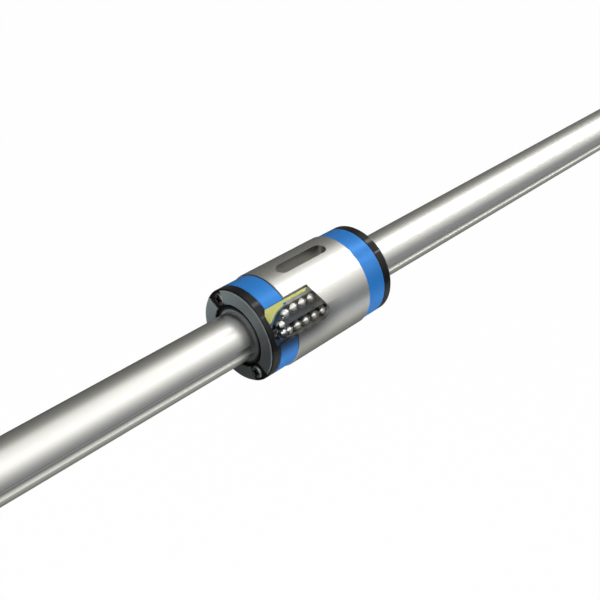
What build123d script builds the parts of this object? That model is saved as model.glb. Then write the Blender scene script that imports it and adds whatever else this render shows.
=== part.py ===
"""Ball spline: a grooved shaft and a recirculating ball nut that slides along it without turning.

The shaft axis is X and +Z is up. The origin is the middle of the nut on the shaft axis.
"Front" is the -X end of the nut and "rear" the +X end. "Near" is the -Y side, which is cut away
to show one ball circuit, and "far" is the +Y side. The far circuit is the near one turned half
a turn about the shaft. All sizes are in millimetres.
"""
from build123d import *
from math import cos, pi, radians, sin, tan
import os

# Shaft
shaft_diameter = 8.0
splined_length = 200.0
shaft_chamfer = 0.4
journal_diameter = 6.0
journal_length = 10.0
journal_chamfer = 0.4
centre_hole_diameter = 1.6
centre_hole_angle = 60.0

# Balls and the circuits they run in
ball_diameter = 1.7
ball_plane = 4.4
row_rise = 3.85
turn_tilt = 18.5
balls_per_circuit = 22
first_ball_travel = 0.65
groove_clearance = 0.05
channel_clearance = 0.08

# Outer sleeve
nut_diameter = 16.0
sleeve_length = 16.2
sleeve_bore = 8.7
sleeve_chamfer = 0.15
key_length = 10.5
key_width = 2.5
key_depth = 1.5

# Ball retainer
retainer_shaft_clearance = 0.12
island_depth = 0.4
fit_gap = 0.02

# End caps, which stand a step inside the sleeve's outside and sit in its ends on a spigot
cap_step = 0.2
cap_length = 3.8
spigot_rim = 0.8
spigot_length = 0.6
cap_chamfer = 0.1

# Lubricating pads
pad_inner_radius = 5.3
pad_skin = 0.2
pad_low_angle = 36.0
pad_high_angle = 57.0
pad_turn_wall = 0.45
tail_thickness = 0.5
tail_low_angle = 50.0
tail_high_angle = 56.0
tail_length = 4.9

# Seals and their holders
holder_step = 0.01
holder_length = 1.55
holder_flange = 0.2
holder_flange_bore = 8.7
holder_chamfer = 0.12
lip_diameter = 9.4
lip_land = 0.3
lip_relief = 0.35
lip_clearance = 0.04

# Face plates, with a radial notch between them at each screw
plate_inset = 0.25
plate_bore = 10.6
plate_thickness = 0.25
plate_chamfer = 0.05
notch_low_angle = 120.0
notch_high_angle = 149.5

# Screws
screw_diameter = 1.2
screw_hole_clearance = 0.05
screw_circle_radius = 6.3
screw_angle = 130.0
screw_engagement = 2.6
head_diameter = 2.1
head_height = 0.75
head_round = 0.3
seat_depth = 0.45
head_clearance = 0.08
recess_width = 0.4
recess_span = 1.35
recess_depth = 0.4

# Cutaway in the near side: a window down to the ball centres, and a deeper pocket along the balls
window_slope = 39.0
window_slant = 32.0
window_low = -1.25
window_high = 7.4
window_front = 12.6
window_low_end = 2.8
window_high_end = -3.7
window_corner = 1.4
pocket_wall = 0.1
pocket_distance = 4.06
pocket_lean = 7.0

# Sizes that follow from the ones above
shaft_radius = shaft_diameter / 2
splined_half = splined_length / 2
journal_radius = journal_diameter / 2
ball_radius = ball_diameter / 2
groove_radius = ball_radius + groove_clearance
channel_radius = ball_radius + channel_clearance
turn_radius = row_rise / 2
pocket_radius = turn_radius + channel_radius + pocket_wall
nut_radius = nut_diameter / 2
sleeve_half = sleeve_length / 2
turn_start = sleeve_half - spigot_length
cap_radius = nut_radius - cap_step
cap_face = sleeve_half + cap_length
spigot_radius = nut_radius - spigot_rim
pad_outer_radius = cap_radius - pad_skin
tail_inner_radius = pad_outer_radius - tail_thickness
holder_radius = cap_radius - holder_step
holder_face = cap_face + holder_length
plate_radius = holder_radius - plate_inset
island_face = ball_plane - island_depth
island_span = row_rise - 2 * channel_radius
retainer_bore_radius = shaft_radius + retainer_shaft_clearance
retainer_radius = sleeve_bore / 2 - fit_gap
screw_radius = screw_diameter / 2
screw_hole_radius = screw_radius + screw_hole_clearance

FRONT, REAR = -1, 1
NEAR, FAR = 1, -1
ENDS = {"front": FRONT, "rear": REAR}
SIDES = {"near": NEAR, "far": FAR}


def around(radius, angle):
    """Point (Y, Z) at a radius from the shaft axis and an angle up from the near side."""
    return (-radius * cos(radians(angle)), radius * sin(radians(angle)))


def row_point(rise, side):
    """Point (Y, Z) in the plane of the ball centres, at a rise above the loaded row."""
    return (-side * ball_plane, side * rise)


def circuit_point(travel, side):
    """Ball centre after some travel round a circuit, from the front end of its return row."""
    half_turn = pi * turn_radius
    straight = 2 * turn_start
    travel = travel % (2 * half_turn + 2 * straight)
    if travel < half_turn:
        end, swing = FRONT, travel / turn_radius
    elif travel < half_turn + straight:
        return (travel - half_turn - turn_start, -side * ball_plane, 0)
    elif travel < 2 * half_turn + straight:
        end, swing = REAR, pi - (travel - half_turn - straight) / turn_radius
    else:
        return (turn_start - (travel - 2 * half_turn - straight), -side * ball_plane, side * row_rise)
    reach = turn_radius * sin(swing)
    x = end * (turn_start + reach * cos(radians(turn_tilt)))
    outward = ball_plane + reach * sin(radians(turn_tilt))
    rise = turn_radius * (1 + cos(swing))
    return (x, -side * outward, side * rise)


def export(built, label):
    """Label a finished piece and write it to its own file."""
    built.part.label = label
    export_step(built.part, f"parts/{label}.step")


def sector(inner, outer, low, high, side):
    """Flat sector of a ring, between two radii and two angles, on one side of the shaft."""
    with BuildSketch(mode=Mode.PRIVATE) as flat:
        with BuildLine():
            start, turn = 180 - low, low - high
            if side == FAR:
                start += 180
            outer_arc = CenterArc((0, 0), outer, start, turn)
            inner_arc = CenterArc((0, 0), inner, start, turn)
            Line(outer_arc @ 0, inner_arc @ 0)
            Line(outer_arc @ 1, inner_arc @ 1)
        make_face()
    return flat.sketch


os.makedirs("parts", exist_ok=True)
screw_points = [around(screw_circle_radius, screw_angle), around(screw_circle_radius, screw_angle + 180)]
loaded_rows = [row_point(0, side) for side in SIDES.values()]
return_rows = [row_point(row_rise, side) for side in SIDES.values()]

# Splined shaft, turned and ground, with a journal and a centre hole at each end
centre_hole_depth = centre_hole_diameter / 2 / tan(radians(centre_hole_angle / 2))
shaft_end = splined_half + journal_length
with BuildPart() as spline_shaft:
    with BuildSketch(Plane.XZ):
        with BuildLine():
            Polyline(
                (0, 0),
                (shaft_end - centre_hole_depth, 0),
                (shaft_end, centre_hole_diameter / 2),
                (shaft_end, journal_radius - journal_chamfer),
                (shaft_end - journal_chamfer, journal_radius),
                (splined_half, journal_radius),
                (splined_half, shaft_radius - shaft_chamfer),
                (splined_half - shaft_chamfer, shaft_radius),
                (0, shaft_radius),
                close=True,
            )
        make_face()
        mirror(about=Plane.YZ)
    revolve(axis=Axis.X)
    with BuildSketch(Plane.YZ.offset(-splined_half)):
        with Locations(*loaded_rows):
            Circle(groove_radius)
    extrude(amount=splined_length, mode=Mode.SUBTRACT)
export(spline_shaft, "spline_shaft")

# Cutaway of the near side. It runs up and to the front, along the line of sight, so that its walls hide
# no balls. The window stops in the plane of the ball centres. Along the balls the pocket goes deeper, to
# a plane that leans in over the shaft.
sight = Vector(-sin(radians(window_slant)), *around(cos(radians(window_slant)), window_slope))
pocket_facing = (0, *around(1, pocket_lean))
pocket_floor = Plane(origin=(0, *around(pocket_distance, pocket_lean)), z_dir=pocket_facing)
with BuildPart() as cut:
    with BuildSketch(Plane.XZ.offset(ball_plane)) as opening:
        with BuildLine():
            Polyline(
                (-window_front, window_low),
                (window_low_end, window_low),
                (window_high_end, window_high),
                (-window_front, window_high),
                close=True,
            )
        make_face()
        fillet(opening.vertices().sort_by(Axis.X)[-1], window_corner)
    extrude(amount=nut_diameter, both=True, dir=sight)
    split(bisect_by=Plane.YZ.offset(-window_front))
with BuildPart() as pocket:
    with BuildSketch(Plane.XZ.offset(ball_plane)):
        with Locations((0, turn_radius)):
            SlotCenterToCenter(2 * turn_start, 2 * pocket_radius)
    extrude(amount=nut_diameter, both=True, dir=sight)
    add(cut.part, mode=Mode.INTERSECT)
    split(bisect_by=pocket_floor)
with BuildPart() as window:
    add(cut.part)
    split(bisect_by=Plane.XZ.offset(ball_plane))
    add(pocket.part)

# Steel outer sleeve with load grooves, return channels, recesses for the islands and a keyway
with BuildPart() as outer_sleeve:
    with BuildSketch(Plane.YZ.offset(-sleeve_half)):
        Circle(nut_radius)
        Circle(sleeve_bore / 2, mode=Mode.SUBTRACT)
        with Locations(*loaded_rows):
            Circle(groove_radius, mode=Mode.SUBTRACT)
        with Locations(*return_rows):
            Circle(channel_radius, mode=Mode.SUBTRACT)
        for side in SIDES.values():
            with Locations((-side * (island_face + fit_gap) / 2, side * row_rise / 2)):
                Rectangle(island_face + fit_gap, island_span + 2 * fit_gap, mode=Mode.SUBTRACT)
    extrude(amount=sleeve_length)
    ends = outer_sleeve.faces().filter_by(Axis.X).edges().filter_by(GeomType.CIRCLE)
    chamfer(ends.filter_by(lambda edge: edge.radius == nut_radius), length=sleeve_chamfer)
    for end in ENDS.values():
        with BuildSketch(Plane.YZ.offset(end * turn_start)):
            Circle(spigot_radius + fit_gap)
        extrude(amount=end * spigot_length, mode=Mode.SUBTRACT)
        with BuildSketch(Plane.YZ.offset(end * (sleeve_half - screw_engagement))):
            with Locations(*screw_points):
                Circle(screw_radius)
        extrude(amount=end * screw_engagement, mode=Mode.SUBTRACT)
        with BuildSketch(Plane.YZ.offset(end * (sleeve_half - tail_length))):
            for side in SIDES.values():
                add(sector(tail_inner_radius, pad_outer_radius, tail_low_angle, tail_high_angle, side))
        extrude(amount=end * tail_length, mode=Mode.SUBTRACT)
    with BuildSketch(Plane.XY.offset(nut_radius - key_depth)):
        SlotOverall(key_length, key_width)
    extrude(amount=2 * key_depth, mode=Mode.SUBTRACT)
    add(window.part, mode=Mode.SUBTRACT)
export(outer_sleeve, "outer_sleeve")

# Ball retainer in two half shells, each with an island between its loaded and return rows
for name, side in {"upper_retainer": NEAR, "lower_retainer": FAR}.items():
    with BuildPart() as retainer:
        with BuildSketch(Plane.YZ.offset(-turn_start)):
            Circle(retainer_radius)
            with Locations((-side * island_face / 2, side * row_rise / 2)):
                Rectangle(island_face, island_span)
            Circle(retainer_bore_radius, mode=Mode.SUBTRACT)
            with Locations((0, -side * nut_radius)):
                Rectangle(nut_diameter, nut_diameter, mode=Mode.SUBTRACT)
            with Locations(*loaded_rows):
                Circle(channel_radius, mode=Mode.SUBTRACT)
        extrude(amount=2 * turn_start)
    export(retainer, name)

# Lubricating pads: a head behind each ball turn, in the cap, and a tail along the return row
pads = {}
for end_name, end in ENDS.items():
    for side_name, side in SIDES.items():
        with BuildPart() as pad:
            with BuildSketch(Plane.YZ.offset(end * sleeve_half)):
                add(sector(pad_inner_radius, pad_outer_radius, pad_low_angle, pad_high_angle, side))
            extrude(amount=end * cap_length)
            with BuildSketch(Plane.XZ):
                with Locations((end * turn_start, side * row_rise / 2)):
                    Circle(turn_radius + channel_radius + pad_turn_wall)
            extrude(amount=nut_radius, both=True, mode=Mode.SUBTRACT)
            with BuildSketch(Plane.YZ.offset(end * (sleeve_half - tail_length))):
                add(sector(tail_inner_radius, pad_outer_radius, tail_low_angle, tail_high_angle, side))
            extrude(amount=end * (tail_length + cap_length))
        pads[end_name, side_name] = pad.part

# End caps, which turn the balls from one row into the other
for end_name, end in ENDS.items():
    with BuildPart() as end_cap:
        with BuildSketch(Plane.YZ.offset(end * sleeve_half)):
            Circle(cap_radius)
        extrude(amount=end * cap_length)
        chamfer(end_cap.edges(), length=cap_chamfer)
        with BuildSketch(Plane.YZ.offset(end * turn_start)):
            Circle(spigot_radius)
        extrude(amount=end * spigot_length)
        with BuildSketch(Plane.YZ.offset(end * turn_start)):
            Circle(retainer_bore_radius)
            with Locations(*screw_points):
                Circle(screw_hole_radius)
        extrude(amount=end * (spigot_length + cap_length), mode=Mode.SUBTRACT)
        with BuildSketch(Plane.YZ.offset(end * turn_start)):
            with Locations(*loaded_rows, *return_rows):
                Circle(channel_radius)
        extrude(amount=end * channel_radius * tan(radians(turn_tilt)), mode=Mode.SUBTRACT)
        for side in SIDES.values():
            centre = (end * turn_start, -side * ball_plane, side * turn_radius)
            tilt = radians(turn_tilt)
            onward = Vector(end * cos(tilt), -side * sin(tilt), 0)
            axle = onward.cross(Vector(0, 0, 1))
            with BuildSketch(Plane(origin=centre, x_dir=axle, z_dir=onward)):
                with Locations((0, turn_radius)):
                    Circle(channel_radius)
            revolve(axis=Axis(centre, axle), revolution_arc=180, mode=Mode.SUBTRACT)
        for side_name in SIDES:
            add(pads[end_name, side_name], mode=Mode.SUBTRACT)
        if end == FRONT:
            add(window.part, mode=Mode.SUBTRACT)
    export(end_cap, f"{end_name}_end_cap")

for (end_name, side_name), solid in pads.items():
    with BuildPart() as pad:
        add(solid)
        if (end_name, side_name) == ("front", "near"):
            add(window.part, mode=Mode.SUBTRACT)
    export(pad, f"{end_name}_{side_name}_lube_pad")

# Seal holders, seal lips, face plates and screws at both ends
for end_name, end in ENDS.items():
    with BuildPart() as holder:
        with BuildSketch(Plane.YZ.offset(end * cap_face)):
            Circle(holder_radius)
        extrude(amount=end * holder_length)
        chamfer(holder.edges(), length=holder_chamfer)
        with BuildSketch(Plane.YZ.offset(end * cap_face)):
            Circle(holder_flange_bore / 2)
            with Locations(*screw_points):
                Circle(screw_hole_radius)
        extrude(amount=end * holder_length, mode=Mode.SUBTRACT)
        with BuildSketch(Plane.YZ.offset(end * (cap_face + holder_flange))):
            Circle(lip_diameter / 2)
        extrude(amount=end * holder_length, mode=Mode.SUBTRACT)
        with BuildSketch(Plane.YZ.offset(end * (holder_face - seat_depth))):
            Circle(plate_bore / 2)
            with Locations(*screw_points):
                Circle(head_diameter / 2 + head_clearance)
        extrude(amount=end * seat_depth, mode=Mode.SUBTRACT)
        if end == FRONT:
            add(window.part, mode=Mode.SUBTRACT)
    export(holder, f"{end_name}_seal_holder")

    lip_back = cap_face + holder_flange
    lip_edge = shaft_radius + lip_clearance
    with BuildPart() as seal_lip:
        with BuildSketch(Plane.XZ):
            with BuildLine():
                Polyline(
                    (end * lip_back, lip_edge + lip_relief),
                    (end * lip_back, lip_diameter / 2),
                    (end * holder_face, lip_diameter / 2),
                    (end * holder_face, lip_edge),
                    (end * (holder_face - lip_land), lip_edge),
                    (end * (lip_back + lip_land), lip_edge + lip_relief),
                    close=True,
                )
            make_face()
        revolve(axis=Axis.X)
        with BuildSketch(Plane.YZ.offset(end * (holder_face - lip_land))):
            with Locations(*loaded_rows):
                Circle(groove_radius - lip_clearance)
            Circle(lip_diameter / 2 - lip_relief, mode=Mode.INTERSECT)
        extrude(amount=end * lip_land)
    export(seal_lip, f"{end_name}_seal_lip")

    for side_name, side in SIDES.items():
        with BuildPart() as plate:
            with BuildSketch(Plane.YZ.offset(end * holder_face)):
                add(sector(plate_bore / 2, plate_radius, notch_high_angle - 180, notch_low_angle, side))
            extrude(amount=end * plate_thickness)
            outside = plate.faces().sort_by(Axis.X)[0 if end == FRONT else -1]
            chamfer(outside.edges(), length=plate_chamfer)
        export(plate, f"{end_name}_{side_name}_face_plate")

    for screw_name, point in zip(("upper", "lower"), screw_points):
        head_seat = holder_face - seat_depth
        with BuildPart() as screw:
            with BuildSketch(Plane.YZ.offset(end * head_seat)):
                with Locations(point):
                    Circle(head_diameter / 2)
            extrude(amount=end * head_height)
            top = screw.faces().sort_by(Axis.X)[0 if end == FRONT else -1]
            fillet(top.edges(), radius=head_round)
            with BuildSketch(Plane.YZ.offset(end * (sleeve_half - screw_engagement))):
                with Locations(point):
                    Circle(screw_radius)
            extrude(amount=end * (head_seat - sleeve_half + screw_engagement))
            with BuildSketch(Plane.YZ.offset(end * (head_seat + head_height))):
                with Locations(point):
                    Rectangle(recess_span, recess_width)
                    Rectangle(recess_width, recess_span)
            extrude(amount=-end * recess_depth, mode=Mode.SUBTRACT)
        export(screw, f"{end_name}_{screw_name}_screw")

# Balls, evenly spaced round each circuit and grouped by the stretch they are on
circuit_length = 2 * pi * turn_radius + 4 * turn_start
ball_pitch = circuit_length / balls_per_circuit
for side_name, side in SIDES.items():
    centres = [circuit_point(first_ball_travel + i * ball_pitch, side) for i in range(balls_per_circuit)]
    groups = {
        "loaded": [p for p in centres if abs(p[0]) <= turn_start and abs(p[2]) < turn_radius],
        "return": [p for p in centres if abs(p[0]) <= turn_start and abs(p[2]) > turn_radius],
        "turning": [p for p in centres if abs(p[0]) > turn_start],
    }
    for group_name, points in groups.items():
        with BuildPart() as balls:
            with Locations(*points):
                Sphere(ball_radius)
        export(balls, f"{side_name}_{group_name}_balls")

print(f"circuit {circuit_length:.2f} long, ball pitch {ball_pitch:.3f}, nut {2 * (holder_face + plate_thickness):.2f}")
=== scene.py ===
# %% [markdown]
# # A ball spline
# A ball spline is a hard round shaft with two grooves along it, and a nut that rolls on it on steel
# balls. The balls sit half in the shaft's grooves and half in the nut, so the nut slides freely and
# can't turn on the shaft. This nut has a window milled in its side, which shows one loop of balls.
# The CAD model comes in first and stays where it is. The scene is in metres, in the model's frame:
# X is the shaft axis, Z is up, and the origin is the middle of the nut. The sizes of the shaft and
# the balls are written in millimetres, as on a drawing, and turn to metres when their mesh is made.

# %% Load the frame
import math

import bpy
import numpy as np
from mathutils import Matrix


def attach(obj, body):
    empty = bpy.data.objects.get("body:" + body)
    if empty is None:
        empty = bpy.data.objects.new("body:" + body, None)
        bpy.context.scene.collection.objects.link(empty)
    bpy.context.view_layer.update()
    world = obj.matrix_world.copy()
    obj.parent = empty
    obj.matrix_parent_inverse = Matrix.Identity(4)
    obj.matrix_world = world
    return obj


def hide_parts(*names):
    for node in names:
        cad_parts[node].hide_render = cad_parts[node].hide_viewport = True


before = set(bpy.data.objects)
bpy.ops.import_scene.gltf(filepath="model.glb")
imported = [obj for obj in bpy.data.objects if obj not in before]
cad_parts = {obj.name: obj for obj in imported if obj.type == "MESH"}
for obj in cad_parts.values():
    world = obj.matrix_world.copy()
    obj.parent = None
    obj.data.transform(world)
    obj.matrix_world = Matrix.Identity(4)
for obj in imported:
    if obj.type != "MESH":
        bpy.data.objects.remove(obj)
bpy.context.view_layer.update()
MM = 0.001

# %% [markdown]
# ## Camera
# The camera stands near the front left corner and looks down along the front half of the shaft. A
# long lens from far away would flatten the nut, so this one is close, like the one in the
# reference. Its place and lens were solved from the outlines of the nut's bands and of the shaft.

# %% Camera
camera_place = (-85.54 * MM, -85.49 * MM, 84.02 * MM)
camera_yaw = math.radians(45.015)
camera_pitch = math.radians(34.783)
lens_pixels = 906.9
frame_pixels = 600
sensor_width = 36.0

camera_data = bpy.data.cameras.new("camera")
camera_data.sensor_width = sensor_width
camera_data.lens = lens_pixels / frame_pixels * sensor_width
camera_data.clip_start = 1 * MM
camera_data.clip_end = 100
camera = bpy.data.objects.new("camera", camera_data)
bpy.context.scene.collection.objects.link(camera)
camera.location = camera_place
camera.rotation_euler = (math.pi / 2 - camera_pitch, 0, camera_yaw - math.pi / 2)
bpy.context.scene.camera = camera
print("lens", round(camera_data.lens, 2), "mm")

# %% [markdown]
# ## A skin from rings of points
# The shaft and the balls are round pieces that the CAD export draws with few facets, which a mirror
# finish would show. So they are made again here as fine skins. Blender's own lathe would do for a
# ball but not for the grooved shaft. One helper takes both: it gets rings of points, all worked out
# as arrays, joins each ring to the next and draws each end to a tip, so no seam or pole stays open.

# %% Skin helper
crease_angle = math.radians(30)


def skin(name, rings, tips, body, replaced):
    """Mesh of closed tubes: point j meets point j + 1 of its ring and point j of the next ring.

    rings is an array of copies, rings, points and XYZ, in millimetres. tips holds the two end
    points of each copy. Faces look outwards where the rings run along +X and their points run from
    -Y up over +Z.
    """
    copies, count, around = rings.shape[:3]
    total = copies * count * around
    number = np.arange(total).reshape(copies, count, around)
    onward = np.roll(number, -1, axis=2)
    sides = np.stack([number[:, :-1], number[:, 1:], onward[:, 1:], onward[:, :-1]], axis=-1)
    tip = np.broadcast_to(total + np.arange(2 * copies).reshape(copies, 2, 1), (copies, 2, around))
    first = np.stack([tip[:, 0], number[:, 0], onward[:, 0]], axis=-1)
    last = np.stack([tip[:, 1], onward[:, -1], number[:, -1]], axis=-1)
    points = np.concatenate([rings.reshape(-1, 3), np.asarray(tips).reshape(-1, 3)]) * MM
    caps = np.concatenate([first.reshape(-1, 3), last.reshape(-1, 3)])
    faces = sides.reshape(-1, 4).tolist() + caps.tolist()
    mesh = bpy.data.meshes.new(name)
    mesh.from_pydata(points.tolist(), [], faces)
    mesh.shade_smooth()
    mesh.set_sharp_from_angle(angle=crease_angle)
    piece = bpy.data.objects.new(name, mesh)
    bpy.context.scene.collection.objects.link(piece)
    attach(piece, body)
    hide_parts(replaced)
    print(name, "faces:", len(mesh.polygons))
    return piece


# %% [markdown]
# ## The shaft
# The real shaft is turned, hardened and ground, and a wheel then grinds a round groove along each
# side. Seen as a surface it has two parameters: how far along the axis, and which way round. The
# radius is that of the turned profile or that of the groove, whichever is smaller. A sharp minimum
# would leave knife edges along the grooves. The real ones are broken with a stone, and they catch a
# thin line of light, so the two radii are blended over a few hundredths of a millimetre.

# %% Shaft sizes
shaft_radius = 4.0
spline_end = 100.0
shaft_end = 110.0
journal_radius = 3.0
edge_cut = 0.4
centre_mouth = 0.8
centre_half_angle = math.radians(30)
centre_depth = centre_mouth / math.tan(centre_half_angle)
ball_plane = 4.4
groove_radius = 0.9
broken_edge = 0.022
print("grooves", round(shaft_radius - (ball_plane - groove_radius), 2), "mm deep")


# %% Shaft surface
def groove_reach(turn):
    """Radius at which a ray from the axis meets a groove: c cos t - sqrt(g^2 - c^2 sin^2 t).

    t is the angle from the groove's middle, c the distance of its centre and g its radius. Rays
    that miss the groove get a large radius, so that the shaft's own radius wins there.
    """
    inside = groove_radius ** 2 - (ball_plane * np.sin(turn)) ** 2
    reach = ball_plane * np.abs(np.cos(turn)) - np.sqrt(np.maximum(inside, 0))
    return np.where(inside > 0, reach, 3 * shaft_radius)


def shaft_skin(stations, turned, turn):
    """Points at (x, -r cos t, r sin t), where r is a soft minimum of the turned and groove radii.

    The soft minimum of a and b with blend e is -e log(exp(-a / e) + exp(-b / e)).
    """
    groove = groove_reach(turn)[None, :]
    radius = -broken_edge * np.logaddexp(-turned[:, None] / broken_edge, -groove / broken_edge)
    along = np.broadcast_to(stations[:, None], radius.shape)
    return np.stack([along, -radius * np.cos(turn), radius * np.sin(turn)], axis=-1)


half_profile = np.array([
    (shaft_end, centre_mouth), (shaft_end, journal_radius - edge_cut),
    (shaft_end - edge_cut, journal_radius), (spline_end, journal_radius),
    (spline_end, shaft_radius - edge_cut), (spline_end - edge_cut, shaft_radius)])
end_margin = 4
middle = np.linspace(-spline_end + end_margin, spline_end - end_margin, 49)
stations = np.concatenate([-half_profile[:, 0], middle, half_profile[::-1, 0]])
turned = np.concatenate([
    half_profile[:, 1], np.full(middle.size, shaft_radius), half_profile[::-1, 1]])

# The rays lie close together within groove_half degrees of a groove, and wider apart elsewhere.
groove_half, fine_step, coarse_step = 15, 0.25, 1.5
fine = np.radians(np.arange(-groove_half, groove_half, fine_step))
coarse = np.radians(np.arange(groove_half, 180 - groove_half, coarse_step))
turn = np.concatenate([fine, coarse, fine + math.pi, coarse + math.pi])
shaft_rings = shaft_skin(stations, turned, turn)
shaft_tips = [(-shaft_end + centre_depth, 0, 0), (shaft_end - centre_depth, 0, 0)]
shaft_piece = skin(
    "ground_shaft", shaft_rings[None], shaft_tips, "shaft", "spline_shaft")

# %% [markdown]
# ## The balls
# Each loop holds 22 balls. They run loaded along the shaft's groove, turn up and over in the blue
# end cap, run back in a channel of the sleeve and turn down again. Placing them by hand would be
# slow and uneven. Instead the loop is one long track: a ball's place is a function of how far it
# has rolled, and equal steps along the track give equal spacing. The two turns lean outwards.

# %% Ball sizes and the track
ball_radius = 0.85
row_rise = 3.85
turn_radius = row_rise / 2
turn_start = 7.5
turn_tilt = math.radians(18.5)
balls_in_loop = 22
first_ball = 0.65
half_circle, straight = math.pi * turn_radius, 2 * turn_start
stops = np.cumsum([0, half_circle, straight, half_circle, straight])
travel = first_ball + stops[-1] / balls_in_loop * np.arange(balls_in_loop)
print("loop", round(stops[-1], 2), "mm, one ball every", round(stops[-1] / balls_in_loop, 3), "mm")


def ball_centres(side):
    """Ball centres of one loop: two straights joined by half circles that lean outwards.

    The swing goes from 0 to half a turn in the front cap and back in the rear one. Its sine times
    the turn radius carries a ball out past the straights, and its cosine carries the ball from the
    upper row to the lower one.
    """
    along = np.interp(travel, stops, turn_start * np.array([-1, -1, 1, 1, -1]))
    swing = np.interp(travel, stops, math.pi * np.array([0, 1, 1, 0, 0]))
    reach = turn_radius * np.sin(swing)
    x = along + np.sign(along) * reach * math.cos(turn_tilt)
    outward = ball_plane + reach * math.sin(turn_tilt)
    rise = turn_radius * (1 + np.cos(swing))
    return np.stack([x, -side * outward, side * rise], axis=-1)


# %% [markdown]
# ## Skins of the balls
# A ball is one round surface on a grid of latitude and longitude, with X as its axis. It is worked
# out once with a radius of one. Adding the centres of a whole group to it makes that group in one
# step.

# %% Ball skins
rings_in_ball, points_in_ring = 23, 48
latitude = np.radians(np.linspace(-90, 90, rings_in_ball + 2)[1:-1])
longitude = np.radians(np.linspace(0, 360, points_in_ring, endpoint=False))
ring_size = np.cos(latitude)[:, None]
unit_ball = np.stack([
    np.broadcast_to(np.sin(latitude)[:, None], (latitude.size, longitude.size)),
    -ring_size * np.cos(longitude), ring_size * np.sin(longitude)], axis=-1)
unit_tips = np.array([(-1, 0, 0), (1, 0, 0)])

ball_pieces = []
for side_name, side in (("near", 1), ("far", -1)):
    centres = ball_centres(side)
    turning = np.abs(centres[:, 0]) > turn_start
    low = np.abs(centres[:, 2]) < turn_radius
    groups = {"loaded": low & ~turning, "return": ~low & ~turning, "turning": turning}
    for group, chosen in groups.items():
        places = centres[chosen][:, None, None, :]
        name = f"{side_name}_{group}_balls"
        ball_pieces.append(skin(
            "polished_" + name, places + ball_radius * unit_ball[None],
            places[:, 0] + ball_radius * unit_tips[None], "nut", name))

# %% [markdown]
# ## Helpers for materials
# Colours are written as the eye reads them, in sRGB hex, and a shader wants linear light, so one
# function converts them. One more function adds a node, sets it and wires it. A noise is a number
# from 0 to 1, but nearly all of it lies between 0.3 and 0.7, so a gloss that follows it is spread
# over that.

# %% Colour and node helpers
noise_low, noise_high = 0.3, 0.7


def linear(hex_colour):
    """Linear RGBA of an sRGB hex colour: each channel goes backwards through the sRGB curve."""
    channels = np.array([int(hex_colour[i:i + 2], 16) for i in (0, 2, 4)]) / 255
    light = np.where(channels <= 0.04045, channels / 12.92, ((channels + 0.055) / 1.055) ** 2.4)
    return (*light.tolist(), 1.0)


def add(tree, kind, links=None, **settings):
    """Add a node. settings are its properties. links gives each socket a value or what feeds it."""
    node = tree.nodes.new(kind)
    for name, value in settings.items():
        setattr(node, name, value)
    for socket, value in (links or {}).items():
        if isinstance(value, bpy.types.NodeSocket):
            tree.links.new(value, node.inputs[socket])
        else:
            node.inputs[socket].default_value = value
    return node


def new_material(name, **shader):
    """A material with one Principled shader, on which the values that are even all over are set."""
    material = bpy.data.materials.new(name)
    material.use_nodes = True
    tree = material.node_tree
    principled = tree.nodes["Principled BSDF"]
    for socket, value in shader.items():
        principled.inputs[socket.replace("_", " ")].default_value = value
    return material, tree, principled


def dress(pieces, material):
    """Give pieces a material in place of what they came with."""
    for piece in pieces:
        piece.data.materials.clear()
        piece.data.materials.append(material)
    print(material.name, "on", len(pieces))


def nodes_named(ending):
    """The CAD nodes whose names end with some words."""
    return [piece for name, piece in sorted(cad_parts.items()) if name.endswith(ending)]


# %% [markdown]
# ## Painted shadow under the window
# A soft dark band is painted on the skin under the lower edge of the window. It is painted shadow
# that grounds the row of balls: darkest at the edge, it fades out over a few millimetres of skin.
# Sleeve and front cap both carry it, so it is a step that darkens a colour by the angle round the
# axis.

# %% Painted shadow band
# The painted shadow band: where it fades along X, the angle above which it stops, and its colour.
shadow_fade_ends = (-5.5 * MM, 2.5 * MM)
shadow_top = 26
painted_shadow_colour = "0c0b0a"
print("oil film fades from", [round(end / MM, 1) for end in shadow_fade_ends], "mm along X")


def painted_shadow_band(tree, place, tint, low, high, most):
    """A colour that goes over to painted shadow as the angle round the axis goes from low to high.

    Angles are in degrees from -Y up, and nothing above the top angle is darkened. most is the share
    of painted shadow where it is darkest, and that share fades along X between the two ends.
    """
    axes = add(tree, "ShaderNodeSeparateXYZ", {0: place})
    depth = add(tree, "ShaderNodeMath", {0: axes.outputs["Y"], 1: -1.0}, operation="MULTIPLY")
    angle = add(tree, "ShaderNodeMath", {
        0: axes.outputs["Z"], 1: depth.outputs[0]}, operation="ARCTAN2").outputs[0]
    rise = add(tree, "ShaderNodeMapRange", {
        "Value": angle, "From Min": math.radians(low), "From Max": math.radians(high),
        "To Min": 0.0, "To Max": most}, interpolation_type="SMOOTHSTEP")
    along = add(tree, "ShaderNodeMapRange", {
        "Value": axes.outputs["X"], "From Min": shadow_fade_ends[0], "From Max": shadow_fade_ends[1],
        "To Min": 1.0, "To Max": 0.0}, interpolation_type="SMOOTHSTEP")
    below = add(tree, "ShaderNodeMath", {
        0: angle, 1: math.radians(shadow_top)}, operation="LESS_THAN")
    spread = add(tree, "ShaderNodeMath", {
        0: rise.outputs[0], 1: along.outputs[0]}, operation="MULTIPLY")
    amount = add(tree, "ShaderNodeMath", {
        0: spread.outputs[0], 1: below.outputs[0]}, operation="MULTIPLY")
    return add(tree, "ShaderNodeMix", {
        "Factor": amount.outputs[0], "A": tint, "B": linear(painted_shadow_colour)},
        data_type="RGBA").outputs["Result"]
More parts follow.
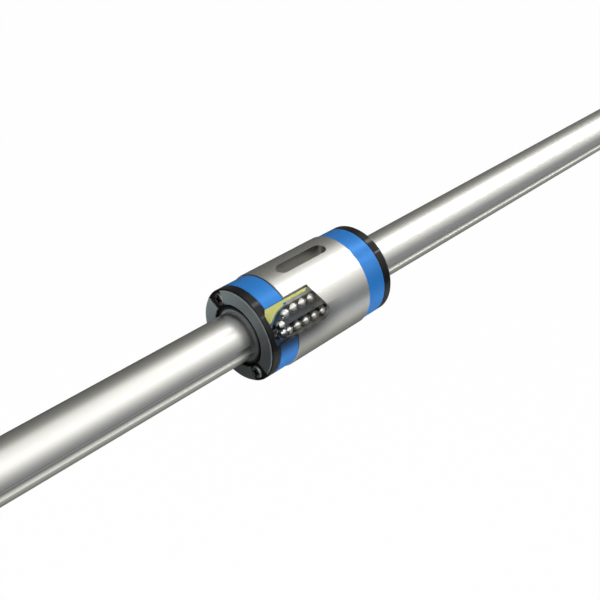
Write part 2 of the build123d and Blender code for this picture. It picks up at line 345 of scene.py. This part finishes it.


# %% [markdown]
# ## Ground steel
# Shaft and sleeve are bearing steel, ground round between wheels. Grinding leaves fine lines that
# run round the bar, so the finish is a noise that hardly changes round the bar and changes fast
# along it. Real grinding lines are about 0.02 mm apart. That is too fine to show at this distance,
# so they are drawn ten times coarser and very faint, in the gloss alone. Handling leaves hardly
# visible blotches on the ground skin, about a centimetre across. The sleeve also has milled faces
# in its window and keyway. They lie inside its ground outside, so a step on the distance from the
# axis tells them apart. A cutter leaves its lines about 0.1 mm apart, drawn here at 0.35 mm. The
# window is bright, and the keyway is painted a darker grey, which is painted shade in the slot.
# The keyway is the one that lies high, so the height above the axis picks the shade. The shaft's
# grooves lie inside its ground outside too, and they are painted a little greyer, which is painted
# shade in the grooves.

# %% Ground steel
grinding_pitch, grinding_length = 0.2 * MM, 25 * MM
milling_pitch, milling_length, milling_depth = 0.35 * MM, 4 * MM, 0.005 * MM
blotch_size = 11.1 * MM
keyway_height = 6.1 * MM


def lay_lines(tree, place, pitch, length):
    """Noise drawn out into lines: one pitch along X, and one length the other two ways."""
    scale = (1 / pitch, 1 / length, 1 / length)
    stretched = add(tree, "ShaderNodeMapping", {"Vector": place, "Scale": scale})
    return add(tree, "ShaderNodeTexNoise", {
        "Vector": stretched.outputs[0], "Scale": 1.0, "Detail": 3.0})


def axis_distance(tree, place):
    """How far a point lies from the shaft axis: the length of (0, y, z)."""
    sideways = add(tree, "ShaderNodeVectorMath", {0: place, 1: (0, 1, 1)}, operation="MULTIPLY")
    return add(tree, "ShaderNodeVectorMath", {
        0: sideways.outputs[0]}, operation="LENGTH").outputs["Value"]


def ground_steel(name, shades, roughness, spread, cut_within, cut_gloss, relief=0.0, painted_shadow=None):
    """Bright metal with lines round X. Within the radius cut_within it is cut, and not ground.

    shades are two of the ground skin, one of low cuts and one of the keyway, and a darker shade
    for a cut is painted shade. cut_gloss is the roughness of those two cuts, and relief is how
    strongly the cutter's lines show. roughness and spread are of the ground skin. The last argument
    holds what the painted shadow band takes after the tint.
    """
    material, tree, shader = new_material(name, Metallic=1.0)
    place = add(tree, "ShaderNodeTexCoord").outputs["Object"]
    lines = lay_lines(tree, place, grinding_pitch, grinding_length)
    ground_rough = add(tree, "ShaderNodeMapRange", {
        "Value": lines.outputs["Fac"], "From Min": noise_low, "From Max": noise_high,
        "To Min": roughness - spread, "To Max": roughness + spread})
    blotches = add(tree, "ShaderNodeTexNoise", {
        "Vector": place, "Scale": 1 / blotch_size, "Detail": 2.0})
    ground_shade = add(tree, "ShaderNodeMix", {
        "Factor": blotches.outputs["Fac"], "A": linear(shades[0]), "B": linear(shades[1])},
        data_type="RGBA")
    cut = add(tree, "ShaderNodeMath", {
        0: axis_distance(tree, place), 1: cut_within}, operation="LESS_THAN").outputs[0]
    height = add(tree, "ShaderNodeSeparateXYZ", {0: place}).outputs["Z"]
    keyway = add(tree, "ShaderNodeMath", {
        0: height, 1: keyway_height}, operation="GREATER_THAN").outputs[0]
    # A darker shade here is painted shade: the keyway's on the sleeve, the grooves' on the shaft.
    cut_shade = add(tree, "ShaderNodeMix", {
        "Factor": keyway, "A": linear(shades[2]), "B": linear(shades[3])}, data_type="RGBA")
    cut_rough = add(tree, "ShaderNodeMix", {"Factor": keyway, "A": cut_gloss[0], "B": cut_gloss[1]})
    rough = add(tree, "ShaderNodeMix", {
        "Factor": cut, "A": ground_rough.outputs[0], "B": cut_rough.outputs[0]})
    tint = add(tree, "ShaderNodeMix", {
        "Factor": cut, "A": ground_shade.outputs["Result"], "B": cut_shade.outputs["Result"]},
        data_type="RGBA").outputs["Result"]
    if relief:
        cutter = lay_lines(tree, place, milling_pitch, milling_length)
        ridges = add(tree, "ShaderNodeMath", {
            0: cutter.outputs["Fac"], 1: cut}, operation="MULTIPLY")
        bump = add(tree, "ShaderNodeBump", {
            "Height": ridges.outputs[0], "Strength": relief, "Distance": milling_depth})
        tree.links.new(bump.outputs[0], shader.inputs["Normal"])
    if painted_shadow:
        tint = painted_shadow_band(tree, place, tint, *painted_shadow)
    tree.links.new(rough.outputs[0], shader.inputs["Roughness"])
    tree.links.new(tint, shader.inputs["Base Color"])
    return material


# The greyer shade of the shaft's cuts is painted shade in its grooves.
dress([shaft_piece], ground_steel(
    "ground_bearing_steel", ("f5f4f1", "eeedea", "c8c8c4", "c8c8c4"), roughness=0.3, spread=0.002,
    cut_within=3.96 * MM, cut_gloss=(0.34, 0.34)))
# The keyway's shade 9e9d99 is painted shade, and the last setting lays the painted shadow band
# under the window.
dress(nodes_named("outer_sleeve"), ground_steel(
    "ground_and_milled_sleeve_steel", ("f5f4f1", "efeeeb", "f5f4f1", "9e9d99"), roughness=0.27,
    spread=0.002, cut_within=7.93 * MM, cut_gloss=(0.5, 0.28), relief=0.15, painted_shadow=(-20, 18, 0.85)))

# %% [markdown]
# ## Ball steel
# The balls are lapped until they shine, so they are the smoothest steel here. A ball in use picks
# up a film of grease, which shows as a faint change of gloss in patches about a third of a ball
# across.

# %% Ball steel
patch_size = 0.6 * MM
patch_low, patch_high = 0.35, 0.65
material, tree, shader = new_material("lapped_ball_steel", Metallic=1.0)
place = add(tree, "ShaderNodeTexCoord").outputs["Object"]
patches = add(tree, "ShaderNodeTexNoise", {"Vector": place, "Scale": 1 / patch_size, "Detail": 2.0})
gloss = add(tree, "ShaderNodeMapRange", {
    "Value": patches.outputs["Fac"], "From Min": patch_low, "From Max": patch_high,
    "To Min": 0.12, "To Max": 0.18})
shade = add(tree, "ShaderNodeMix", {
    "Factor": patches.outputs["Fac"], "A": linear("ecebe8"), "B": linear("dddcd9")},
    data_type="RGBA")
tree.links.new(gloss.outputs[0], shader.inputs["Roughness"])
tree.links.new(shade.outputs["Result"], shader.inputs["Base Color"])
dress(ball_pieces, material)

# %% [markdown]
# ## Moulded resin
# The end caps, seal holders, face plates and retainers are moulded from resin. The mould was spark
# eroded, which gives the skin a fine even grain of about 0.05 mm, drawn here at 0.15 mm. Only the
# seal holders come from a polished mould and shine. Inside the skin the colour is even, apart from
# slow flow marks a few millimetres long. Each resin is the same recipe with its own colours, so one
# function makes them all. The end caps take two shots: a slate core that guides the balls comes
# first, and the blue is moulded over it. The blue holds some mica flake, which lets it follow the
# light from dark to bright more than plain resin does. Inside the sleeve the retainers are painted
# pale along the row, so that the dark slate fades out: this pale is painted light.

# %% Moulded resin
grain_size, grain_depth = 0.15 * MM, 0.01 * MM
gloss_spread = 0.05
flow_size = 5 * MM
core_radius = 6.9 * MM
pale_fade_ends = (-4 * MM, 2.5 * MM)


def moulded_resin(name, shades, roughness, relief, shine=0.5, flake=0.0,
                  core=None, painted_shadow=None, painted_pale=None):
    """Plastic with slow flow marks between two shades, and an even grain in its gloss and its skin.

    flake is the share that mirrors light in the resin's own colour. core is the shade of the first
    shot, which reaches from the shaft axis to the core radius. The argument after core holds what
    the painted shadow band takes after the tint. The last is the pale that the resin fades to along
    X, which is painted light.
    """
    material, tree, shader = new_material(name, IOR=1.48, Specular_IOR_Level=shine, Metallic=flake)
    place = add(tree, "ShaderNodeTexCoord").outputs["Object"]
    flow = add(tree, "ShaderNodeTexNoise", {
        "Vector": place, "Scale": 1 / flow_size, "Detail": 2.0})
    grain = add(tree, "ShaderNodeTexNoise", {
        "Vector": place, "Scale": 1 / grain_size, "Detail": 2.0})
    tint = add(tree, "ShaderNodeMix", {
        "Factor": flow.outputs["Fac"], "A": linear(shades[0]), "B": linear(shades[1])},
        data_type="RGBA").outputs["Result"]
    if core:
        inner = add(tree, "ShaderNodeMath", {
            0: axis_distance(tree, place), 1: core_radius}, operation="LESS_THAN")
        tint = add(tree, "ShaderNodeMix", {
            "Factor": inner.outputs[0], "A": tint, "B": linear(core)},
            data_type="RGBA").outputs["Result"]
    if painted_shadow:
        tint = painted_shadow_band(tree, place, tint, *painted_shadow)
    # Painted light: the resin fades to a pale shade along X.
    if painted_pale:
        axes = add(tree, "ShaderNodeSeparateXYZ", {0: place})
        along = add(tree, "ShaderNodeMapRange", {
            "Value": axes.outputs["X"], "From Min": pale_fade_ends[0], "From Max": pale_fade_ends[1]},
            interpolation_type="SMOOTHSTEP")
        tint = add(tree, "ShaderNodeMix", {
            "Factor": along.outputs[0], "A": tint, "B": linear(painted_pale)},
            data_type="RGBA").outputs["Result"]
    gloss = add(tree, "ShaderNodeMapRange", {
        "Value": grain.outputs["Fac"], "From Min": noise_low, "From Max": noise_high,
        "To Min": roughness - gloss_spread, "To Max": roughness + gloss_spread})
    bump = add(tree, "ShaderNodeBump", {
        "Height": grain.outputs["Fac"], "Strength": relief, "Distance": grain_depth})
    tree.links.new(tint, shader.inputs["Base Color"])
    tree.links.new(gloss.outputs[0], shader.inputs["Roughness"])
    tree.links.new(bump.outputs[0], shader.inputs["Normal"])
    return material


# The last setting lays the painted shadow band on the front cap, under the window.
dress(nodes_named("end_cap"), moulded_resin(
    "blue_acetal_with_mica", ("247acb", "2c84d6"), roughness=0.33, relief=0.25, shine=0.6,
    flake=0.3, core="7f93a8", painted_shadow=(-14, 12, 0.92)))
dress(nodes_named("seal_holder"), moulded_resin(
    "black_nylon", ("090909", "0f0e0c"), roughness=0.09, relief=0.06, shine=0.4))
# The last setting paints the retainers pale along the row, as painted light.
dress(nodes_named("retainer"), moulded_resin(
    "slate_nylon", ("4b5155", "585d60"), roughness=0.42, relief=0.4, painted_pale="deded9"))
dress(nodes_named("face_plate"), moulded_resin(
    "grey_nylon", ("697375", "767f81"), roughness=0.42, relief=0.3))

# %% [markdown]
# ## Yellow felt
# The pads that oil the balls are pressed from fine fibres. Cut felt shows short fibres that lie
# every way, lighter where they stand up and darker where oil has soaked in. A cell pattern would
# look like foam, so the fibres are one noise bent by another. They are 0.02 mm thick and are drawn
# at 0.1 mm.

# %% Yellow felt
fibre_size, fibre_depth = 0.1 * MM, 0.03 * MM
oil_size = 1.5 * MM
most_oil = 0.35
material, tree, shader = new_material("yellow_felt", Roughness=0.9, Sheen_Weight=0.2)
place = add(tree, "ShaderNodeTexCoord").outputs["Object"]
fibres = add(tree, "ShaderNodeTexNoise", {
    "Vector": place, "Scale": 1 / fibre_size, "Detail": 3.0, "Distortion": 2.5})
oil = add(tree, "ShaderNodeTexNoise", {"Vector": place, "Scale": 1 / oil_size, "Detail": 1.0})
dry = add(tree, "ShaderNodeMix", {
    "Factor": fibres.outputs["Fac"], "A": linear("dada64"), "B": linear("f3f39c")},
    data_type="RGBA")
soaked = add(tree, "ShaderNodeMapRange", {
    "Value": oil.outputs["Fac"], "From Min": 0.5, "From Max": 0.75,
    "To Min": 0.0, "To Max": most_oil})
shade = add(tree, "ShaderNodeMix", {
    "Factor": soaked.outputs[0], "A": dry.outputs["Result"], "B": linear("c2ba40")},
    data_type="RGBA")
bump = add(tree, "ShaderNodeBump", {
    "Height": fibres.outputs["Fac"], "Strength": 0.6, "Distance": fibre_depth})
tree.links.new(shade.outputs["Result"], shader.inputs["Base Color"])
tree.links.new(bump.outputs[0], shader.inputs["Normal"])
dress(nodes_named("lube_pad"), material)

# %% [markdown]
# ## Grey rubber
# The seal lips are nitrile rubber. It is matte, and a thin bloom of wax comes to its surface in
# soft pale clouds. The clouds are a slow noise that lightens the colour and dulls the gloss
# together, as real bloom does. Beyond a distance from the axis the lip is painted near black, as a
# painted shadow where the lip meets its holder, so the colour changes at that distance.

# %% Grey rubber
bloom_size = 0.8 * MM
painted_shadow_radius = 4.4 * MM
material, tree, shader = new_material("grey_nitrile_rubber", IOR=1.5)
place = add(tree, "ShaderNodeTexCoord").outputs["Object"]
bloom = add(tree, "ShaderNodeTexNoise", {"Vector": place, "Scale": 1 / bloom_size, "Detail": 2.0})
grey = add(tree, "ShaderNodeMix", {
    "Factor": bloom.outputs["Fac"], "A": linear("687072"), "B": linear("767e80")},
    data_type="RGBA")
# Painted shadow: past this distance from the axis the lip is near black.
painted_gap_shadow = add(tree, "ShaderNodeMath", {
    0: axis_distance(tree, place), 1: painted_shadow_radius}, operation="GREATER_THAN")
shade = add(tree, "ShaderNodeMix", {
    "Factor": painted_gap_shadow.outputs[0], "A": grey.outputs["Result"], "B": linear("1b1e1f")},
    data_type="RGBA")
gloss = add(tree, "ShaderNodeMapRange", {
    "Value": bloom.outputs["Fac"], "From Min": noise_low, "From Max": noise_high,
    "To Min": 0.5, "To Max": 0.62})
tree.links.new(shade.outputs["Result"], shader.inputs["Base Color"])
tree.links.new(gloss.outputs[0], shader.inputs["Roughness"])
dress(nodes_named("seal_lip"), material)

# %% [markdown]
# ## Plated screws
# The screws are small steel ones with a bright nickel plating. Plating follows the grain of the
# blank, so it isn't quite a mirror: its gloss changes over about 0.2 mm. The cross recess is
# painted near black, as painted shade in the recess. The recess lies nearer the screw's axis than
# its edge is, and below the top of the head, and that tells the shader where it is. The four screws
# lie at mirrored places, so the absolute values of the coordinates bring all of them to one.

# %% Plated screws
screw_circle, screw_turn = 6.3, math.radians(50)
screw_axis = (0, screw_circle * math.cos(screw_turn) * MM, screw_circle * math.sin(screw_turn) * MM)
recess_reach = 0.7 * MM
head_top, shade_depth_below_top = 13.75 * MM, 0.02 * MM
plating_size = 0.2 * MM
material, tree, shader = new_material("nickel_plated_screw_steel", Metallic=1.0)
place = add(tree, "ShaderNodeTexCoord").outputs["Object"]
grain = add(tree, "ShaderNodeTexNoise", {"Vector": place, "Scale": 1 / plating_size, "Detail": 2.0})
mirrored = add(tree, "ShaderNodeVectorMath", {0: place}, operation="ABSOLUTE")
offset = add(tree, "ShaderNodeVectorMath", {
    0: mirrored.outputs[0], 1: screw_axis}, operation="SUBTRACT")
near_axis = add(tree, "ShaderNodeMath", {
    0: axis_distance(tree, offset.outputs[0]), 1: recess_reach}, operation="LESS_THAN")
height = add(tree, "ShaderNodeSeparateXYZ", {0: mirrored.outputs[0]})
below_top = add(tree, "ShaderNodeMath", {
    0: height.outputs["X"], 1: head_top - shade_depth_below_top}, operation="LESS_THAN")
# Painted shade: the cross recess is coloured near black.
painted_recess_shade = add(tree, "ShaderNodeMath", {
    0: near_axis.outputs[0], 1: below_top.outputs[0]}, operation="MULTIPLY")
shade = add(tree, "ShaderNodeMix", {
    "Factor": painted_recess_shade.outputs[0], "A": linear("9b9c9a"), "B": linear("242423")},
    data_type="RGBA")
gloss = add(tree, "ShaderNodeMapRange", {
    "Value": grain.outputs["Fac"], "From Min": noise_low, "From Max": noise_high,
    "To Min": 0.25, "To Max": 0.4})
tree.links.new(shade.outputs["Result"], shader.inputs["Base Color"])
tree.links.new(gloss.outputs[0], shader.inputs["Roughness"])
dress(nodes_named("screw"), material)

# %% [markdown]
# ## Studio
# The background is white for the camera, and steel and gloss see that same white. For soft light on
# everything else the world is dim, and lamps do the rest. A lamp's level is how bright a white card
# that faces it would look. The side of the nut that the camera sees gets about one in all, so that
# a colour there renders about as it is written.

# %% World
world = bpy.data.worlds.new("studio")
bpy.context.scene.world = world
world.use_nodes = True
tree = world.node_tree
sky_level = 0.03


def seen_directly(tree):
    """1 for rays from the camera, from a glossy surface or through glass, and 0 for all others."""
    path = add(tree, "ShaderNodeLightPath")
    some = add(tree, "ShaderNodeMath", {
        0: path.outputs["Is Camera Ray"], 1: path.outputs["Is Glossy Ray"]}, operation="MAXIMUM")
    return add(tree, "ShaderNodeMath", {
        0: some.outputs[0], 1: path.outputs["Is Transmission Ray"]}, operation="MAXIMUM").outputs[0]


sky = add(tree, "ShaderNodeMix", {
    "Factor": seen_directly(tree), "A": (sky_level, sky_level, sky_level, 1), "B": (1, 1, 1, 1)},
    data_type="RGBA")
tree.links.new(sky.outputs["Result"], tree.nodes["Background"].inputs["Color"])
print("sky level", sky_level)

# %% [markdown]
# ## Floor
# The part floats well above a sheet of pale paper. Paper alone would be greyer than the white world
# and its edge would show, so it also glows white for the same rays that see the world white. A
# hundredth of it stays lit paper for them, and that keeps a very faint shadow of the part.

# %% Floor
floor_drop = 400 * MM
floor_half = 3.0
glow_share = 0.99
mesh = bpy.data.meshes.new("floor")
corners = np.array([(-1, -1, 0), (1, -1, 0), (1, 1, 0), (-1, 1, 0)]) * floor_half
mesh.from_pydata((corners - (0, 0, floor_drop)).tolist(), [], [(0, 1, 2, 3)])
floor = bpy.data.objects.new("floor", mesh)
bpy.context.scene.collection.objects.link(floor)
material, tree, shader = new_material(
    "pale_floor_paper", Roughness=0.9, Base_Color=linear("e2e2e0"))
white = add(tree, "ShaderNodeEmission", {"Color": (1, 1, 1, 1), "Strength": 1.0})
share = add(tree, "ShaderNodeMath", {0: seen_directly(tree), 1: glow_share}, operation="MULTIPLY")
both = add(tree, "ShaderNodeMixShader", {
    0: share.outputs[0], 1: shader.outputs[0], 2: white.outputs[0]})
tree.links.new(both.outputs[0], tree.nodes["Material Output"].inputs["Surface"])
floor.data.materials.append(material)
print("floor", round(floor_drop / MM), "mm under the shaft axis")

# %% [markdown]
# ## Grey card
# Bright steel has hardly any colour of its own: it shows what stands round it. In a white room it
# looks flat and white. So in a studio a sheet of grey card is bent round the part, and the steel
# then shows its soft greys, with a bright band where the card is white. This card follows a circle
# round the shaft axis. Only glossy rays see it, so it hides nothing and throws no shadow.

# %% Grey card
card_radius = 350 * MM
card_reach = 1.2
card_x = np.linspace(-card_reach, card_reach, 5)
card_angles = np.radians(np.linspace(0, 360, 145))


def bent_card(x, turn):
    """Points at (x, -R cos t, R sin t) on a cylinder of radius R round the shaft axis."""
    x, turn = np.meshgrid(x, turn, indexing="ij")
    return np.stack([x, -card_radius * np.cos(turn), card_radius * np.sin(turn)], axis=-1)


points = bent_card(card_x, card_angles)
number = np.arange(points.shape[0] * points.shape[1]).reshape(points.shape[:2])
quads = np.stack([number[:-1, :-1], number[:-1, 1:], number[1:, 1:], number[1:, :-1]], axis=-1)
mesh = bpy.data.meshes.new("grey_card")
mesh.from_pydata(points.reshape(-1, 3).tolist(), [], quads.reshape(-1, 4).tolist())
card = bpy.data.objects.new("grey_card", mesh)
bpy.context.scene.collection.objects.link(card)
card.visible_camera = False
card.visible_diffuse = False
card.visible_transmission = False
card.visible_shadow = False
print("card", round(card_radius / MM), "mm from the shaft axis")

# %% [markdown]
# ## Tones of the card
# The card's tone is a list by the angle round the axis, in degrees from -Y up, and a colour ramp
# blends from one to the next. Tubes of light lie along the card and give the glossy rings their
# thin bright lines. Seen from the camera, the shaft in front of the nut shows the card up to about
# 150 mm along X, and the nut shows it further on. So the two parts of the card can differ, with a
# slow change between them. On the first part a broad glow brightens the shaft, and the card is
# turned a little further round, because the shaft catches its bands lower down there.

# %% Card tones
card_tones = {
    0: "909295", 15: "b7b7b5", 25: "d5d5d0", 35: "edede7", 45: "ffffff", 96: "f6f6f2",
    106: "f0f0ec", 115: "d8d9d3", 125: "a8a9a4", 135: "8c8b87", 147: "797975", 165: "6c6d69",
    185: "62625f", 210: "454545", 240: "454545", 255: "6a6a66", 266: "747470", 276: "7a7d78",
    286: "91938a", 296: "b2b1ac", 306: "bfbfbc", 316: "bebfbf", 326: "9c9ea1", 336: "7d7e83",
    348: "737577", 360: "909295"}

# Angle and half width of each light in degrees, then its glare on the first part and on the rest.
# The first three lights are tubes, and the last is the broad glow.
lights = ((90, 8.0, 0.0, 4.5), (55, 2.5, 0.0, 7.0), (325.5, 1.5, 1.5, 1.5), (62, 36.0, 0.25, 0.0))
front_stops, rest_starts = 150 * MM, 250 * MM
front_twist = math.radians(7)

material, tree, shader = new_material("grey_card_tones")
place = add(tree, "ShaderNodeSeparateXYZ", {0: add(tree, "ShaderNodeTexCoord").outputs["Object"]})
depth = add(tree, "ShaderNodeMath", {0: place.outputs["Y"], 1: -1.0}, operation="MULTIPLY")
angle = add(tree, "ShaderNodeMath", {
    0: place.outputs["Z"], 1: depth.outputs[0]}, operation="ARCTAN2")
lead = add(tree, "ShaderNodeMapRange", {
    "Value": place.outputs["X"], "From Min": front_stops, "From Max": rest_starts,
    "To Min": -front_twist, "To Max": 0.0})
turned = add(tree, "ShaderNodeMath", {
    0: angle.outputs[0], 1: lead.outputs[0]}, operation="SUBTRACT")
turns = add(tree, "ShaderNodeMath", {0: turned.outputs[0], 1: 2 * math.pi}, operation="DIVIDE")
share = add(tree, "ShaderNodeMath", {0: turns.outputs[0]}, operation="FRACT").outputs[0]
tones = add(tree, "ShaderNodeValToRGB", {0: share})
ramp = tones.color_ramp
ramp.elements[0].color = linear(card_tones[0])
ramp.elements[1].color = linear(card_tones[360])
for degrees in sorted(card_tones)[1:-1]:
    ramp.elements.new(degrees / 360).color = linear(card_tones[degrees])
strength = 1.0
for degrees, half_width, front_glare, glare in lights:
    beside = add(tree, "ShaderNodeMath", {0: share, 1: degrees / 360}, operation="SUBTRACT")
    away = add(tree, "ShaderNodeMath", {0: beside.outputs[0]}, operation="ABSOLUTE")
    level = add(tree, "ShaderNodeMapRange", {
        "Value": place.outputs["X"], "From Min": front_stops, "From Max": rest_starts,
        "To Min": front_glare, "To Max": glare})
    light = add(tree, "ShaderNodeMapRange", {
        "Value": away.outputs[0], "From Min": half_width / 360, "From Max": 0.0,
        "To Min": 0.0, "To Max": level.outputs[0]}, interpolation_type="SMOOTHSTEP")
    strength = add(tree, "ShaderNodeMath", {
        0: light.outputs[0], 1: strength}, operation="ADD").outputs[0]
glow = add(tree, "ShaderNodeEmission", {"Color": tones.outputs["Color"], "Strength": strength})
tree.links.new(glow.outputs[0], tree.nodes["Material Output"].inputs["Surface"])
card.data.materials.append(material)
print("card tones:", len(ramp.elements), "lights on it:", len(lights))

# %% [markdown]
# ## Lamps
# The key lamp stands high on the near side, in front of the nut's front face. A flag, which is a
# dark strip along the shaft between the lamp and the nut, keeps it off the lower near side. The
# front face is then bright at its upper left and falls off softly to its lower right. A lamp on the
# near side, behind the plane of that face, lights the near side and the window. One on the far side
# carries the light over the top of the nut, and a low one lifts the underside.

# %% Lamps
def lamp(name, direction, distance, size, level):
    """A square soft lamp that faces the nut and doesn't show in steel or gloss.

    Its power is level times pi squared times distance squared, so that a white card at the nut that
    faces the lamp looks as bright as level. Distance and size are in metres.
    """
    place = np.array(direction) / np.linalg.norm(direction) * distance
    data = bpy.data.lights.new(name, "AREA")
    data.size = size
    data.energy = level * math.pi ** 2 * distance ** 2
    piece = bpy.data.objects.new(name, data)
    bpy.context.scene.collection.objects.link(piece)
    piece.location = place
    toward = -place / distance
    piece.rotation_euler = (
        math.acos(-toward[2]), 0, math.atan2(toward[1], toward[0]) - math.pi / 2)
    piece.visible_glossy = False
    print(name, "level", level)


key_turn = math.radians(50)
key_aside = 0.66
key_direction = (-0.75, -key_aside * math.cos(key_turn), key_aside * math.sin(key_turn))
lamp("key_lamp", key_direction, distance=0.5, size=0.07, level=1.5)
lamp("near_lamp", (0.3, -0.74, 0.6), distance=0.5, size=0.3, level=0.78)
lamp("far_lamp", (0.2, 0.85, 0.49), distance=0.5, size=0.3, level=0.34)
lamp("low_lamp", (0.3, -0.45, -0.84), distance=0.4, size=0.15, level=0.95)

# %% [markdown]
# ## Flag
# The flag hangs between the key lamp and the shaft, and runs along the shaft up to a little before
# the nut. Seen along the shaft, its upper edge lies a little above the line from the axis to the
# lamp, so the shadow takes the lower half of the front face and somewhat more. The lamp is small
# but not a point, so that shadow has a soft edge.

# %% Flag
flag_distance = 60 * MM
flag_width = 16 * MM
flag_lift = 3.5 * MM
flag_ends = (-200 * MM, -25 * MM)
toward = np.array([0, -math.cos(key_turn), math.sin(key_turn)])
downward = np.array([0, -math.sin(key_turn), -math.cos(key_turn)])
edge = flag_distance * toward - flag_lift * downward
corners = [edge + reach * downward + np.array([x, 0, 0]) for x, reach in (
    (flag_ends[0], 0), (flag_ends[1], 0), (flag_ends[1], flag_width), (flag_ends[0], flag_width))]
mesh = bpy.data.meshes.new("flag")
mesh.from_pydata([corner.tolist() for corner in corners], [], [(0, 1, 2, 3)])
flag = bpy.data.objects.new("flag", mesh)
bpy.context.scene.collection.objects.link(flag)
flag.visible_camera = False
flag.visible_diffuse = False
flag.visible_glossy = False
flag.visible_transmission = False
print("flag edge at", (edge / MM).round(1).tolist(), "mm")

# %% [markdown]
# ## View
# The Standard view shows colours as they are, where a film-like one would bend them.

# %% View
bpy.context.scene.view_settings.view_transform = "Standard"
